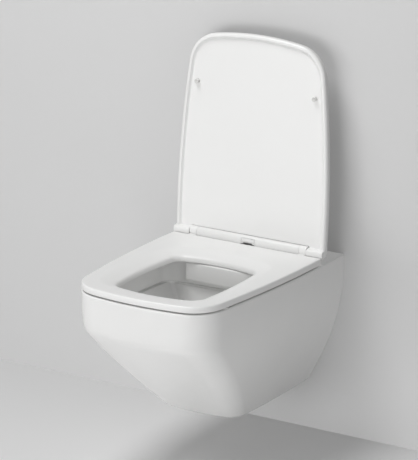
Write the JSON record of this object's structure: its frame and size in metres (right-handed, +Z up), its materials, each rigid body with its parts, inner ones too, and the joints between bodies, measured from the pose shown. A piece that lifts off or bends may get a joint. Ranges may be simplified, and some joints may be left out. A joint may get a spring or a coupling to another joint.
{
  "type": "wall hung toilet",
  "caption": "Wall-hung rimless toilet with a tapered ceramic bowl, soft-closing seat and lid on a quick-release hinge bar, and hidden wall brackets.",
  "frame": {"origin": "on the wall plane, halfway between the two wall bolts", "axes": "+X to the right seen from the front, +Y into the wall along the bolts, +Z up"},
  "size_m": [0.365, 0.518, 0.7495],
  "materials": {
    "ceramic": "glossy white glaze",
    "seat_plastic": "glossy white moulded",
    "hinge_plastic": "satin white moulded",
    "rubber": "matt light grey",
    "steel": "zinc plated",
    "nylon": "matt grey"
  },
  "bodies": {
    "root": {"bowl": "ceramic", "flush_distributor": "seat_plastic", "wall_bracket_left": "steel", "wall_bracket_right": "steel", "clamp_sleeves": "steel", "deck_bushes": "nylon", "hinge_gaskets": "rubber", "hinge_base_left": "seat_plastic", "hinge_base_right": "seat_plastic", "hinge_screws": "steel", "hinge_bar": "hinge_plastic", "hinge_bar_base": "hinge_plastic", "button_spring": "steel", "seat_damper_body": "nylon", "lid_damper_body": "nylon"},
    "seat": {"seat_ring": "seat_plastic", "seat_buffers": "rubber", "seat_damper_shaft": "steel", "ring_bush": "nylon"},
    "lid": {"lid": "seat_plastic", "lid_buffers": "rubber", "lid_damper_shaft": "steel", "lid_bush": "nylon"},
    "button": {"release_button": "hinge_plastic"},
    "latch_left": {"latch_left": "nylon"},
    "latch_right": {"latch_right": "nylon"}
  },
  "joints": [
    {"name": "lid_hinge", "type": "hinge", "parent": "root", "child": "lid", "pos_m": [0, -0.0845, 0.1025], "axis": [-1, 0, 0], "range_deg": [-94.2, 0]},
    {"name": "seat_hinge", "type": "hinge", "parent": "root", "child": "seat", "pos_m": [0, -0.0845, 0.1025], "axis": [-1, 0, 0], "range_deg": [0, 94]},
    {"name": "button_press", "type": "slide", "parent": "root", "child": "button", "axis": [0, 1, 0], "range_m": [0, 0.003], "stiffness_N_per_m": 400, "springref_m": -0.002, "deforming": ["button_spring"]},
    {"name": "latch_left_slide", "type": "slide", "parent": "root", "child": "latch_left", "axis": [1, 0, 0], "range_m": [0, 0.003]},
    {"name": "latch_right_slide", "type": "slide", "parent": "root", "child": "latch_right", "axis": [-1, 0, 0], "range_m": [0, 0.003]}
  ],
  "couplings": [
    {"joint": "latch_left_slide", "follows": "button_press", "ratio": 1},
    {"joint": "latch_right_slide", "follows": "button_press", "ratio": 1}
  ]
}
